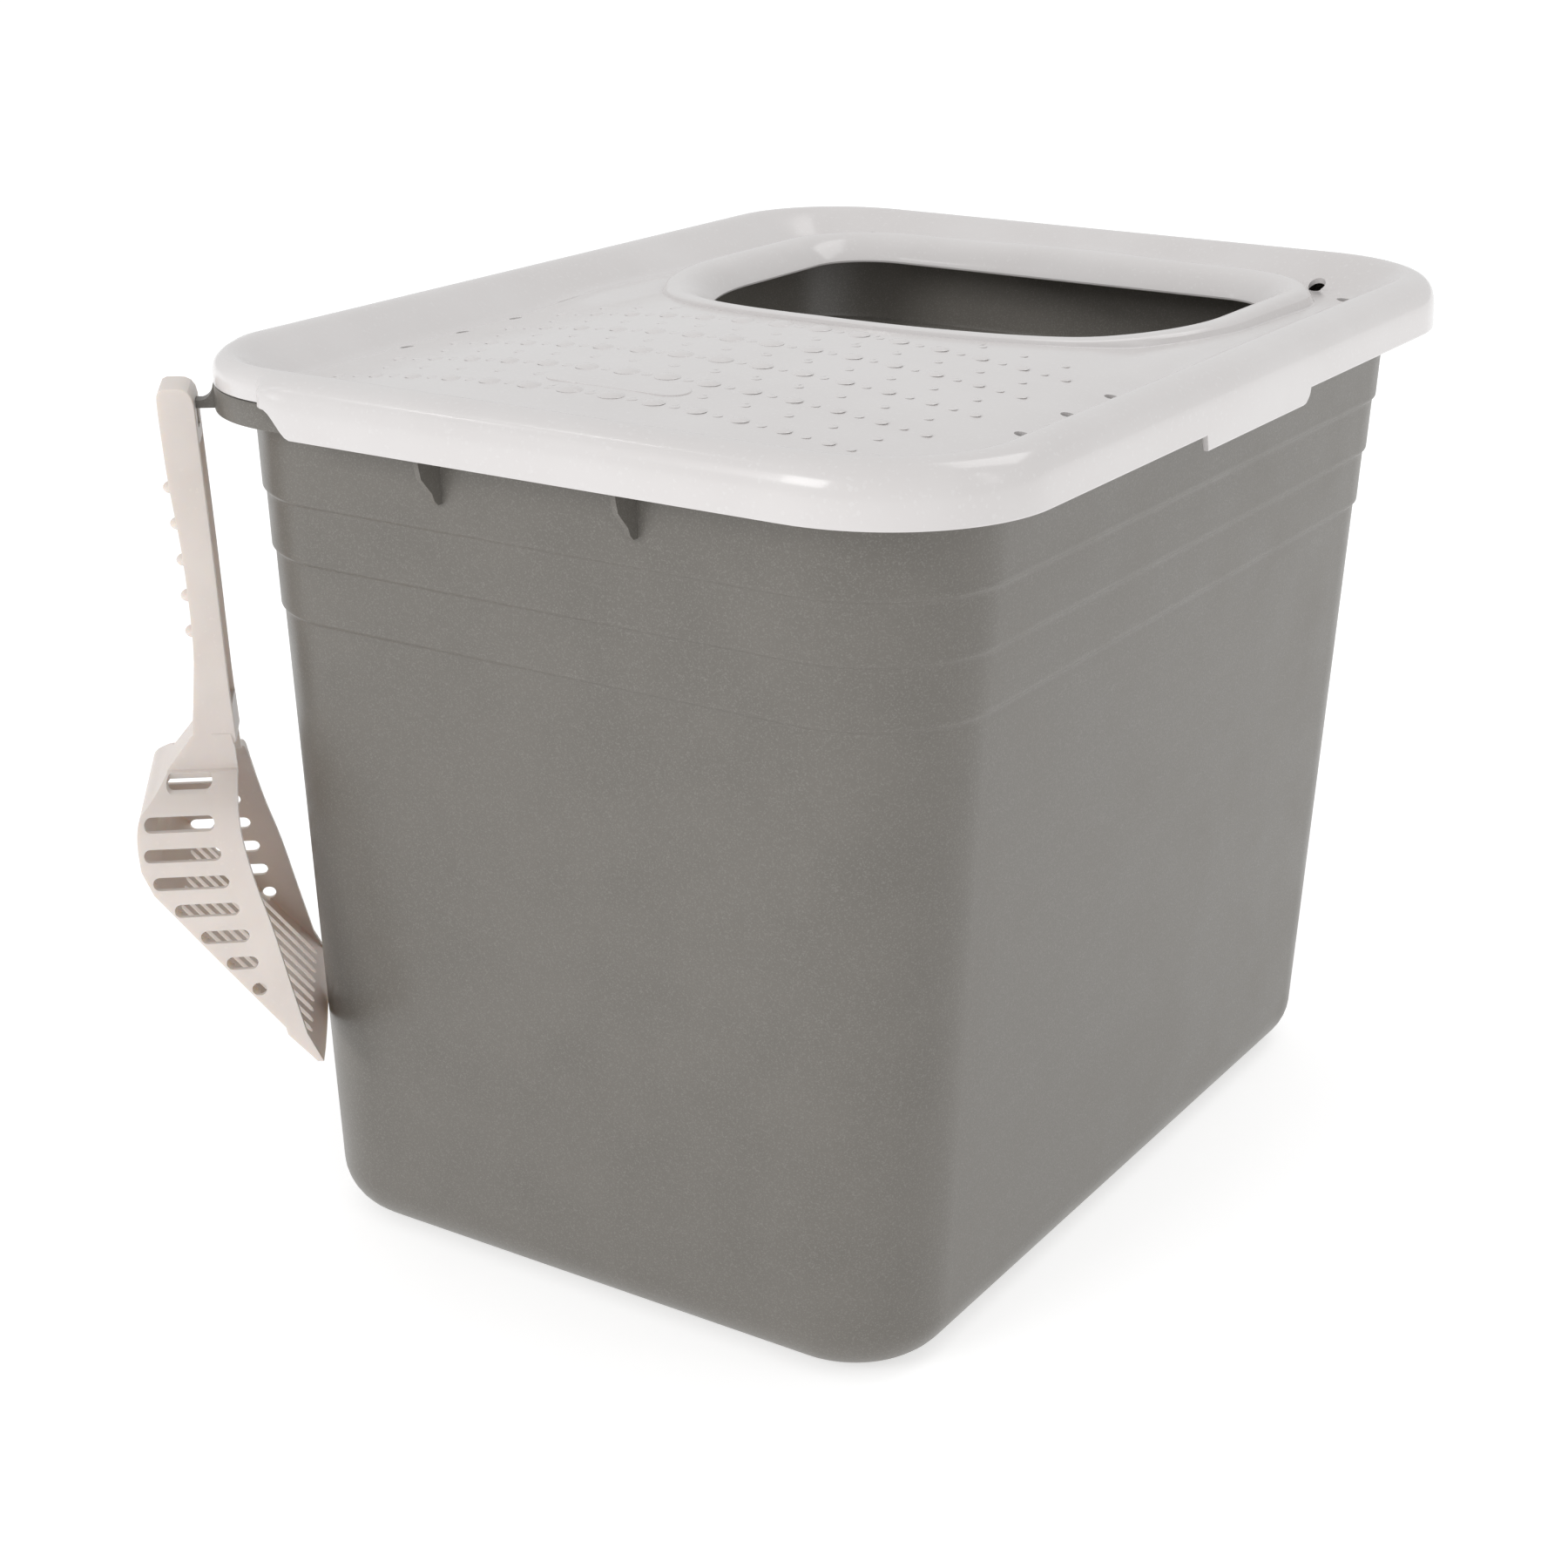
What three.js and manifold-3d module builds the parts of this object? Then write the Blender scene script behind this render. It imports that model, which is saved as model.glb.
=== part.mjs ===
// Top-entry cat litter box: a deep tapered pan, a press-fit lid with a round-fronted
// entry hole and a pebbled paw-cleaning platform, and a slotted scoop on a corner hook.
// Millimetres, +Z up. The origin is the centre of the pan's flat underside.
// X runs across the box, Y along it, and the entry hole is at the +Y end.

import * as THREE from 'three';
import { mergeVertices } from 'three/addons/utils/BufferGeometryUtils.js';
import Module from 'manifold-3d';

// Driving dimensions

const box = { halfWidth: 191.6, halfLength: 257.3, corner: 69.5, crestHeight: 391.5 };

const pan = {
  footHalfWidth: 153.3, // wall outline carried down to the floor
  footHalfLength: 219,
  footCorner: 44.3,
  draft: 0.039, // how far the wall leans out for each millimetre up
  cornerGrowth: 0.025, // how fast the corner radius grows below the ledges
  wall: 2.6,
  footFillet: 22,
  ledgeHeights: [283.4, 308.9, 334.1],
  ledgeStep: 1.4,
  ledgeRise: 4.5,
  rimFloor: 368, // underside of the rim's outward step
  rimTop: 378.6,
  rimInset: 7.6, // the rim's outer face, in from the lid's skirt
  rimWall: 2.6,
};

const gusset = {
  spread: 46,
  thickness: 2.4,
  reach: 13,
  root: 1.5, // how far it sinks into the wall
  lip: 365,
  nose: 349.6,
  noseReach: 5,
  foot: 347,
};

const lid = {
  wall: 2.5,
  skirtFoot: 367.9,
  crestInset: 14,
  borderSlope: 0.64, // fall of the border's inner side towards the platform
  footInset: 36.5, // where the border's inner side meets the platform at the sides
  crownTop: 389.8,
  crownAcross: 5.2e-4, // the platform falls away from its middle line
  crownAlong: 5.9e-5,
  crownMiddle: -90,
  stripRise: 3.5, // the strips beside the entry hole stand higher than the platform's sides
  stripFrom: [120, -25], // across and along
  stripOver: [25, 35],
};

// Insets and heights up the skirt's outer face and down its inner one, and the same where it
// is cut away around the hook's corner
const skirt = {
  outer: [[0, lid.skirtFoot], [0.6, 380], [3.2, 387], [8, 390.4]],
  outerCut: [[7.6, 379], [7.8, 385.8], [8.6, 388.6], [10.5, 390.7]],
  inner: [[5.6, 387], [3.1, 380], [lid.wall, lid.skirtFoot]],
  innerCut: [[12.4, 388], [10.8, 386], [10.2, 379]],
};

const tab = { halfLength: 53, depth: 6.5, overlap: 6, roundness: 7, slant: 2 }; // a finger hold
// Where the skirt is cut away it rises first, then draws in to the rim.
const notch = { across: -101, along: -150.2, acrossBlend: 27, alongBlend: 65, riseShare: 0.65 };

const hole = {
  halfWidth: 135.5, // outline along the crest of the hole's bead
  front: -33,
  rear: 208.5,
  frontCorner: 130,
  rearCorner: 46,
  beadOut: 8,
  beadIn: 15.5,
  sideCrest: 385.8,
  crestRise: 2.4,
  lipHeight: 373,
};

const bump = {
  acrossPitch: 19.33,
  alongPitch: 38.07,
  frontRow: -199.9,
  rows: 5,
  columns: 7, // to each side of the middle
  radius: 5.6,
  shrink: 0.022, // loss of radius for each millimetre off the middle line
  clearance: 13,
};
const drain = {
  radius: 3,
  across: 149,
  firstAlong: -129,
  pitch: 38.5,
  count: 3,
  rearRadius: 4,
  rear: [[124.4, 222.8], [147, 202]],
};

// The scoop's own frame stands where its blade rests on the pan's front left corner.
const hang = { turn: 129.8, x: -143.54, y: -205.81 };
const scoop = { wall: 2.2, handleHalfWidth: 13, basketReach: 90, basketHalfWidth: 60 };
const grip = { heights: [335, 319.6, 304, 288.6, 273], radius: 2.5, halfWidth: 5, rise: 1.4 };
const sideSlot = {
  first: 131,
  pitch: 11.9,
  count: 8,
  halfHeight: 2.8,
  rimMargin: 13.2,
  floorMargin: 4.6,
};
const floorSlot = { pitch: 10.4, count: 9, width: 5, start: 14, end: 94 };
const hangSlot = { halfWidth: 5.4, bottom: 360.6, top: 371.9 };
const hook = {
  halfWidth: 4,
  root: 32.3,
  tip: 48.4,
  tipWall: 2.6,
  armFoot: 368.4,
  armTop: 371.6,
  rootTop: 378,
  tipTop: 374.2,
};

const cornerSteps = 6; // facets in each rounded corner
const curveSteps = 4;
const sideSteps = 10; // stretches along each straight side of the lid

// Solid helpers

const wasm = await Module();
wasm.setup();

function toSolid(geometry) {
  const bare = geometry.clone();
  bare.deleteAttribute('normal');
  bare.deleteAttribute('uv');
  const merged = mergeVertices(bare, 1e-4);
  const mesh = new wasm.Mesh({
    numProp: 3,
    vertProperties: new Float32Array(merged.attributes.position.array),
    triVerts: new Uint32Array(merged.index.array),
  });
  return new wasm.Manifold(mesh);
}

function toGeometry(solid) {
  const mesh = solid.getMesh();
  const geometry = new THREE.BufferGeometry();
  geometry.setAttribute('position', new THREE.BufferAttribute(new Float32Array(mesh.vertProperties), 3));
  geometry.setIndex(new THREE.BufferAttribute(new Uint32Array(mesh.triVerts), 1));
  geometry.computeVertexNormals();
  return geometry;
}

const joinAll = (solids) => solids.reduce((whole, piece) => whole.add(piece));
const cutAll = (solid, cutters) => cutters.reduce((rest, cutter) => rest.subtract(cutter), solid);
const toShape = (points) => new THREE.Shape(points.map(([x, y]) => new THREE.Vector2(x, y)));

// An outline with four rounded corners, anticlockwise from above. Its straight sides can be
// divided, so that a curved surface can follow them.
function outline({ halfWidth, front, rear, frontCorner, rearCorner, across = 1, along = 1 }) {
  const corners = [
    { x: -halfWidth + frontCorner, y: front + frontCorner, radius: frontCorner, start: Math.PI },
    { x: halfWidth - frontCorner, y: front + frontCorner, radius: frontCorner, start: Math.PI * 1.5 },
    { x: halfWidth - rearCorner, y: rear - rearCorner, radius: rearCorner, start: 0 },
    { x: -halfWidth + rearCorner, y: rear - rearCorner, radius: rearCorner, start: Math.PI / 2 },
  ];
  const cornerPoint = ({ x, y, radius, start }, share) => {
    const angle = start + (Math.PI / 2) * share;
    return new THREE.Vector3(x + radius * Math.cos(angle), y + radius * Math.sin(angle), 0);
  };
  return corners.flatMap((corner, k) => {
    const points = [];
    for (let i = 0; i <= cornerSteps; i++) points.push(cornerPoint(corner, i / cornerSteps));
    const from = cornerPoint(corner, 1);
    const to = cornerPoint(corners[(k + 1) % 4], 0);
    const steps = k % 2 ? along : across;
    for (let i = 1; i < steps; i++) points.push(from.clone().lerp(to, i / steps));
    return points;
  });
}

const lift = (points, height) => points.map(({ x, y }) => (
  new THREE.Vector3(x, y, typeof height === 'function' ? height(x, y) : height)
));

// Skin between rings of equal count, going up outside and down inside. A closed skin joins
// its last ring to its first, and an open one is capped with flat fans.
function skin(rings, closed) {
  const count = rings[0].length;
  const index = [];
  const bands = closed ? rings.length : rings.length - 1;
  for (let band = 0; band < bands; band++) {
    const lower = band * count;
    const upper = ((band + 1) % rings.length) * count;
    for (let i = 0; i < count; i++) {
      const next = (i + 1) % count;
      index.push(lower + i, lower + next, upper + next, lower + i, upper + next, upper + i);
    }
  }
  const top = (rings.length - 1) * count;
  for (let i = 1; i < count - 1 && !closed; i++) {
    index.push(0, i + 1, i, top, top + i, top + i + 1);
  }
  const geometry = new THREE.BufferGeometry().setFromPoints(rings.flat());
  geometry.setIndex(index);
  return geometry;
}

// A shape drawn as (along Y, up), extruded to both sides across X.
function extrudeAcross(shape, halfWidth) {
  const options = { depth: halfWidth * 2, bevelEnabled: false, curveSegments: curveSteps };
  const geometry = new THREE.ExtrudeGeometry(shape, options);
  geometry.translate(0, 0, -halfWidth);
  const alongY = new THREE.Vector3(0, 1, 0);
  const up = new THREE.Vector3(0, 0, 1);
  const acrossX = new THREE.Vector3(1, 0, 0);
  return geometry.applyMatrix4(new THREE.Matrix4().makeBasis(alongY, up, acrossX));
}

// A shape drawn as (across X, up), extruded along Y between two distances.
function extrudeAlong(shape, from, to) {
  const options = { depth: to - from, bevelEnabled: false, curveSegments: curveSteps };
  const geometry = new THREE.ExtrudeGeometry(shape, options);
  geometry.rotateX(Math.PI / 2);
  return geometry.translate(0, to, 0);
}

// The scoop's frame: X across the blade, Y straight out from the pan's corner, Z up.
function placeHanging(object) {
  object.position.set(hang.x, hang.y, 0);
  object.rotation.z = THREE.MathUtils.degToRad(hang.turn);
  object.updateMatrixWorld();
  return object;
}

// Pan: one moulding with its ledges, stepped rim, two gussets and the scoop's hook

function wallOutline(height, inset = 0) {
  const stepAt = (ledge) => THREE.MathUtils.clamp((height - ledge) / pan.ledgeRise, 0, 1);
  const steps = pan.ledgeStep * pan.ledgeHeights.reduce((sum, ledge) => sum + stepAt(ledge), 0);
  const grow = pan.draft * height + steps - inset;
  const above = Math.max(0, height - pan.ledgeHeights[0]);
  const flare = pan.cornerGrowth * (height - above) + pan.draft * above + steps;
  const corner = pan.footCorner + flare - inset;
  return outline({
    halfWidth: pan.footHalfWidth + grow,
    front: -pan.footHalfLength - grow,
    rear: pan.footHalfLength + grow,
    frontCorner: corner,
    rearCorner: corner,
  });
}

const insetBox = (inset, across, along) => outline({
  halfWidth: box.halfWidth - inset,
  front: inset - box.halfLength,
  rear: box.halfLength - inset,
  frontCorner: box.corner - inset,
  rearCorner: box.corner - inset,
  across,
  along,
});

function panShell() {
  const filletRing = (degrees, inset) => {
    const turn = THREE.MathUtils.degToRad(degrees);
    const radius = pan.footFillet - inset;
    const height = inset + radius * (1 - Math.cos(turn));
    return lift(wallOutline(height, inset + radius * (1 - Math.sin(turn))), height);
  };
  const wallRing = (inset) => (height) => lift(wallOutline(height, inset), height);
  const heights = pan.ledgeHeights.flatMap((ledge) => [ledge, ledge + pan.ledgeRise]);
  const rimInner = pan.rimInset + pan.rimWall;
  const shelf = pan.rimFloor + pan.wall;
  return toSolid(skin([
    ...[0, 30, 60, 90].map((degrees) => filletRing(degrees, 0)),
    ...[...heights, pan.rimFloor].map(wallRing(0)),
    lift(insetBox(pan.rimInset), pan.rimFloor),
    lift(insetBox(pan.rimInset), pan.rimTop),
    lift(insetBox(rimInner), pan.rimTop),
    lift(insetBox(rimInner), shelf),
    ...[shelf, ...heights.reverse()].map(wallRing(pan.wall)),
    ...[90, 60, 30, 0].map((degrees) => filletRing(degrees, pan.wall)),
  ], false));
}

function gussetSolid(across) {
  const faceAt = (height) => wallOutline(height)[cornerSteps].y;
  const shape = toShape([
    [faceAt(pan.rimFloor) + gusset.root, pan.rimFloor + 1],
    [faceAt(pan.rimFloor) - gusset.reach, pan.rimFloor + 1],
    [faceAt(pan.rimFloor) - gusset.reach, gusset.lip],
    [faceAt(gusset.nose) - gusset.noseReach, gusset.nose],
    [faceAt(gusset.foot), gusset.foot],
    [faceAt(gusset.foot) + gusset.root, gusset.foot],
  ]);
  return toSolid(extrudeAcross(shape, gusset.thickness / 2).translate(across, 0, 0));
}

function hookSolid() {
  const { root, tip } = hook;
  const shape = new THREE.Shape();
  shape.moveTo(root, hook.armFoot);
  shape.lineTo(tip, hook.armFoot);
  shape.lineTo(tip, hook.tipTop);
  shape.lineTo(tip - hook.tipWall, hook.tipTop);
  shape.lineTo(tip - hook.tipWall, hook.armTop);
  shape.lineTo(root + 6.5, hook.armTop);
  shape.quadraticCurveTo(root + 2.6, hook.armTop + 1, root + 1.8, hook.rootTop);
  shape.lineTo(root, hook.rootTop);
  const frame = placeHanging(new THREE.Group());
  return toSolid(extrudeAcross(shape, hook.halfWidth).applyMatrix4(frame.matrixWorld));
}

const gussets = [-gusset.spread, gusset.spread].map(gussetSolid);
const panSolid = joinAll([panShell(), ...gussets, hookSolid()]);

// Lid: skirt, rolled border, crowned platform, beaded entry hole, bumps and drains

const { smoothstep } = THREE.MathUtils;
const crown = (x, y) => {
  const fall = lid.crownAcross * x * x + lid.crownAlong * (y - lid.crownMiddle) ** 2;
  const [fromX, fromY] = lid.stripFrom;
  const beside = smoothstep(Math.abs(x), fromX, fromX + lid.stripOver[0]);
  return lid.crownTop - fall + lid.stripRise * beside * smoothstep(y, fromY, fromY + lid.stripOver[1]);
};
const border = (inset) => box.crestHeight - lid.borderSlope * Math.max(0, inset - lid.crestInset);
const crest = (x, y) => Math.max(hole.sideCrest, crown(x, y) + hole.crestRise);

// How far the skirt is cut away along the box's outline: 0 is whole, and 1 is down to the rim.
const lidBox = (inset) => insetBox(inset, sideSteps, sideSteps);
const cutAway = lidBox(0).map(({ x, y }) => {
  const across = (notch.across - x) / notch.acrossBlend;
  const along = (notch.along - y) / notch.alongBlend;
  return THREE.MathUtils.clamp(Math.min(across, along), 0, 1);
});

// A ring of the skirt, at its own inset and height, raised and drawn in where it is cut away.
function skirtRing([inset, height], [cutInset, cutHeight]) {
  const drawn = lidBox(cutInset);
  return lidBox(inset).map((p, i) => {
    const rise = Math.min(1, cutAway[i] / notch.riseShare);
    const draw = Math.max(0, (cutAway[i] - notch.riseShare) / (1 - notch.riseShare));
    return p.lerp(drawn[i], draw).setZ(THREE.MathUtils.lerp(height, cutHeight, rise));
  });
}

function holeRing(grow) {
  return outline({
    halfWidth: hole.halfWidth + grow,
    front: hole.front - Math.min(grow, 4),
    rear: hole.rear + grow,
    frontCorner: hole.frontCorner + grow * 0.9,
    rearCorner: hole.rearCorner + grow,
    across: sideSteps,
    along: sideSteps,
  });
}

function lidShell() {
  const floorRing = (inset) => lift(lidBox(inset), (x, y) => Math.max(border(inset), crown(x, y)));
  const crestRing = lift(lidBox(lid.crestInset), box.crestHeight);
  const beadFoot = holeRing(hole.beadOut);
  const midway = lift(lidBox(lid.footInset).map((p, i) => p.lerp(beadFoot[i], 0.5)), crown);
  const lower = (points) => points.map(({ x, y, z }) => new THREE.Vector3(x, y, z - lid.wall));
  const below = (drop) => (x, y) => crest(x, y) - drop;
  const top = [
    ...skirt.outer.map((place, i) => skirtRing(place, skirt.outerCut[i])),
    crestRing,
    floorRing(20),
    floorRing(28),
    floorRing(lid.footInset),
    midway,
    lift(beadFoot, crown),
    lift(holeRing(3.5), below(1.2)),
    lift(holeRing(0), crest),
    lift(holeRing(-8), below(3.4)),
    lift(holeRing(-hole.beadIn), hole.lipHeight + 2),
  ];
  const under = [
    lift(holeRing(-hole.beadIn), hole.lipHeight),
    lower(lift(holeRing(-6.5), below(3.4))),
    lower(lift(holeRing(0), crest)),
    lower(lift(holeRing(2), below(1.2))),
    lower(lift(holeRing(hole.beadOut - 1), crown)),
    lower(midway),
    lower(floorRing(lid.footInset)),
    lower(floorRing(28)),
    lower(floorRing(20)),
    lower(crestRing),
    ...skirt.inner.map((place, i) => skirtRing(place, skirt.innerCut[i])),
  ];
  return toSolid(skin([...top, ...under], true));
}

function tabSolid() {
  const top = lid.skirtFoot + tab.overlap;
  const foot = lid.skirtFoot - tab.depth;
  const shape = new THREE.Shape();
  shape.moveTo(-tab.halfLength, top);
  shape.lineTo(-tab.halfLength + tab.slant, foot);
  shape.lineTo(tab.halfLength - tab.roundness, foot);
  shape.quadraticCurveTo(tab.halfLength - 1, foot, tab.halfLength, top);
  return toSolid(extrudeAcross(shape, lid.wall / 2).translate(box.halfWidth - lid.wall / 2 - 0.2, 0, 0));
}

function bumpSolid(x, y) {
  const radius = bump.radius - bump.shrink * Math.abs(x);
  const profile = [[0, -1.5], [radius, -1.5], [radius * 0.75, 0.7], [0, 1.3]];
  const dome = new THREE.LatheGeometry(profile.map(([r, h]) => new THREE.Vector2(r, h)), 6);
  dome.rotateX(Math.PI / 2);
  return toSolid(dome.translate(x, y, crown(x, y)));
}

// Rows across the platform, smaller towards its sides and kept clear of the hole's bead
function bumpSolids() {
  const solids = [];
  for (let row = 0; row < bump.rows; row++) {
    for (let column = -bump.columns; column < bump.columns; column++) {
      const x = (column + 0.5) * bump.acrossPitch;
      const y = bump.frontRow + row * bump.alongPitch;
      const fromHole = Math.hypot(x, y - hole.front - hole.frontCorner) - hole.frontCorner;
      if (fromHole > bump.clearance) solids.push(bumpSolid(x, y));
    }
  }
  return solids;
}

function drainCutters() {
  const places = drain.rear.map(([x, y]) => [x, y, drain.rearRadius]);
  for (let i = 0; i < drain.count; i++) {
    places.push([drain.across, drain.firstAlong + i * drain.pitch, drain.radius]);
  }
  return places.flatMap(([x, y, radius]) => [-x, x].map((across) => {
    const drill = new THREE.CylinderGeometry(radius, radius, 20, 8);
    drill.rotateX(Math.PI / 2);
    return toSolid(drill.translate(across, y, crown(across, y)));
  }));
}

const lidSolid = cutAll(joinAll([lidShell(), tabSolid(), ...bumpSolids()]), drainCutters());

// Scoop: channel handle with grip ribs, and a wedge basket with slotted sides and floor.
// The side profiles are drawn as (out from the pan, up), the front ones as (across, up).

const bladeTip = new THREE.Vector2(0.6, 92);
const plateHeel = new THREE.Vector2(69.2, 173.8);
const plateAlong = plateHeel.clone().sub(bladeTip).normalize();
const plateInward = new THREE.Vector2(-plateAlong.y, plateAlong.x).multiplyScalar(scoop.wall);

const rimCurve = [
  [9.4, 110], [15, 132], [21.3, 157.5], [27.7, 179], [32.2, 199], [33.6, 216], [31.4, 230],
];
const backCurve = [[49.5, 234], [66.5, 212.5], [73.8, 205], [75.2, 196], [74, 184]];
const sideWallCurve = [
  [57, 97], [56, 112], [54.5, 135], [52.5, 157], [50, 179], [47, 196], [40, 206.5], [30, 212.5], [20, 216.5],
  [15.5, 219], [13.5, 234],
];

const mirrored = (points) => [...points, ...points.map(([x, y]) => [-x, y]).reverse()];

function basketBlank() {
  const side = toShape([bladeTip.toArray(), ...rimCurve, ...backCurve, plateHeel.toArray()]);
  const bow = [[20, 95.8], [42, 96.2]];
  const front = toShape(mirrored([...bow, ...sideWallCurve]));
  return toSolid(extrudeAcross(side, scoop.basketHalfWidth))
    .intersect(toSolid(extrudeAlong(front, -10, scoop.basketReach)));
}

function basketHollow() {
  const plateFrom = bladeTip.clone().add(plateInward).addScaledVector(plateAlong, -16);
  const back = backCurve.map(([out, up]) => [out - scoop.wall, up - scoop.wall * 0.6]);
  const side = toShape([
    plateFrom.toArray(),
    [plateFrom.x, 227],
    [36, 227],
    ...back,
    plateHeel.clone().add(plateInward).toArray(),
  ]);
  const walls = sideWallCurve.map(([across, up]) => [across - scoop.wall, up - scoop.wall * 0.8]);
  const front = toShape(mirrored([[57 - scoop.wall, 60], ...walls]));
  return toSolid(extrudeAcross(side, scoop.basketHalfWidth))
    .intersect(toSolid(extrudeAlong(front, -30, scoop.basketReach)));
}

const valueOn = (curve, up) => {
  const k = Math.max(1, curve.findIndex(([, height]) => height >= up));
  const [[x0, y0], [x1, y1]] = [curve[k - 1], curve[k]];
  return THREE.MathUtils.mapLinear(up, y0, y1, x0, x1);
};

function sideSlots() {
  const outer = [bladeTip.toArray(), plateHeel.toArray(), ...backCurve.slice().reverse()];
  return Array.from({ length: sideSlot.count }, (_, k) => {
    const up = sideSlot.first + k * sideSlot.pitch;
    const from = valueOn(rimCurve, up) + sideSlot.rimMargin;
    const to = valueOn(outer, up) - sideSlot.floorMargin;
    const shape = new THREE.Shape();
    shape.absarc(to, up, sideSlot.halfHeight, -Math.PI / 2, Math.PI / 2);
    shape.absarc(from, up, sideSlot.halfHeight, Math.PI / 2, Math.PI * 1.5);
    return toSolid(extrudeAcross(shape, scoop.basketHalfWidth + 5));
  });
}

function floorSlots() {
  const length = floorSlot.end - floorSlot.start;
  const middle = (floorSlot.start + floorSlot.end) / 2;
  const place = bladeTip.clone().addScaledVector(plateAlong, middle);
  return Array.from({ length: floorSlot.count }, (_, k) => {
    const cutter = new THREE.BoxGeometry(floorSlot.width, length, 9);
    cutter.rotateX(plateAlong.angle());
    const across = (k - (floorSlot.count - 1) / 2) * floorSlot.pitch;
    return toSolid(cutter.translate(across, place.x, place.y));
  });
}

// Lines up the handle's two long faces
const handleFront = [
  [39.6, 215.5], [33.5, 228], [34.4, 240], [35.3, 252], [38.1, 312], [41.3, 370], [41.4, 372],
];
const handleBack = [
  [56.4, 376], [55.9, 364], [53.9, 338], [50.6, 309], [48.9, 272], [50.2, 250], [51.8, 234], [51.8, 217.8],
];
const handleTop = 378.4;
const channelSpan = [243, 355]; // the handle is open towards the pan between these heights

function handleSolid() {
  const shape = new THREE.Shape(handleFront.map(([x, y]) => new THREE.Vector2(x, y)));
  shape.quadraticCurveTo(42, handleTop, 48, handleTop);
  shape.lineTo(54.5, handleTop);
  handleBack.forEach(([x, y]) => shape.lineTo(x, y));
  const [channelFoot, channelHead] = channelSpan;
  const ceiling = handleTop - scoop.wall;
  const wallInside = handleFront.at(-1)[0] + scoop.wall;
  const channel = toShape([
    [20, channelFoot],
    [20, channelHead],
    [wallInside, channelHead],
    [wallInside, ceiling - 2.5],
    [wallInside + 2.5, ceiling],
    ...handleBack.slice(0, 6).map(([x, y], i) => [x - scoop.wall, i ? y : ceiling]),
    [handleBack[5][0] - scoop.wall, channelFoot],
  ]);
  const opening = new THREE.BoxGeometry(hangSlot.halfWidth * 2, 10, hangSlot.top - hangSlot.bottom);
  opening.translate(0, handleFront.at(-1)[0], (hangSlot.top + hangSlot.bottom) / 2);
  const blank = toSolid(extrudeAcross(shape, scoop.handleHalfWidth));
  const ribs = grip.heights.map((height) => {
    const rib = new THREE.CylinderGeometry(grip.radius, grip.radius, grip.halfWidth * 2, 8);
    rib.rotateZ(Math.PI / 2);
    return toSolid(rib.translate(0, valueOn(handleBack.slice().reverse(), height) + grip.rise, height));
  });
  const hollow = toSolid(extrudeAcross(channel, scoop.handleHalfWidth - scoop.wall));
  return cutAll(joinAll([blank, ...ribs]), [hollow, toSolid(opening)]);
}

function scoopSolid() {
  const basket = basketBlank().subtract(basketHollow());
  return cutAll(basket, [...sideSlots(), ...floorSlots()]).add(handleSolid());
}

// Assembly

const finishes = {
  pan: new THREE.MeshStandardMaterial({ color: 0x8a8781, roughness: 0.42, metalness: 0.15 }),
  lid: new THREE.MeshStandardMaterial({ color: 0xdedad9, roughness: 0.22, metalness: 0 }),
  scoop: new THREE.MeshStandardMaterial({ color: 0xe1d8d3, roughness: 0.45, metalness: 0 }),
};

function part(name, solid) {
  const mesh = new THREE.Mesh(toGeometry(solid), finishes[name]);
  mesh.name = name;
  return mesh;
}

const litterBox = new THREE.Group();
litterBox.add(part('pan', panSolid), part('lid', lidSolid));
litterBox.add(placeHanging(part('scoop', scoopSolid())));

export default litterBox;
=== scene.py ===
import math

import bmesh
import bpy
from mathutils import Matrix, Vector


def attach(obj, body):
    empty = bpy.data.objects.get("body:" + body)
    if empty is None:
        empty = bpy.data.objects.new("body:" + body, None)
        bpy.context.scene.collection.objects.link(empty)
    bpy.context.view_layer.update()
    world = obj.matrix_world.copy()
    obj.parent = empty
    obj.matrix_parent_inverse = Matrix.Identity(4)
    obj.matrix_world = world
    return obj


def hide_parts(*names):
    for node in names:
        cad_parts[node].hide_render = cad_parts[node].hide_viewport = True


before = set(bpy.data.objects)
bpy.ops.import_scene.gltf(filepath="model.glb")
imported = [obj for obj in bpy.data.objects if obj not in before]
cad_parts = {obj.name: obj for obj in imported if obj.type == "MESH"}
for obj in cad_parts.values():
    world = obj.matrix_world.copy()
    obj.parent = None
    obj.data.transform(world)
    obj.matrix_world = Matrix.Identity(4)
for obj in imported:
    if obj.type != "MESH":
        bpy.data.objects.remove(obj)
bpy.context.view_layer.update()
scene = bpy.context.scene
print("frame loaded")

# Shapes are drawn in millimetres, in the frame's own axes. Each piece is scaled to metres at its end.

millimetre = 0.001


def ease(share):
    share = max(0.0, min(1.0, share))
    return share * share * (3 - 2 * share)


def between(low, high, share):
    return low + (high - low) * share


# Camera, floor and light

view = {
    "place": (0.62026, -1.05068, 0.61897),
    "right": (0.838068, 0.545565, 0.000817),
    "up": (-0.201274, 0.307794, 0.929920),
    "back": (0.507080, -0.779501, 0.367760),
    "sensor": 36,
    "lens": 63.69,
    "shift": (0.0305, 0.0384),
    "clipEnd": 60,
}


def makeCamera():
    data = bpy.data.cameras.new("camera")
    data.sensor_width, data.lens = view["sensor"], view["lens"]
    data.shift_x, data.shift_y = view["shift"]
    data.clip_end = view["clipEnd"]
    camera = bpy.data.objects.new("camera", data)
    axes = Matrix((view["right"], view["up"], view["back"])).transposed()
    camera.matrix_world = Matrix.Translation(view["place"]) @ axes.to_4x4()
    scene.collection.objects.link(camera)
    scene.camera = camera


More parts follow.
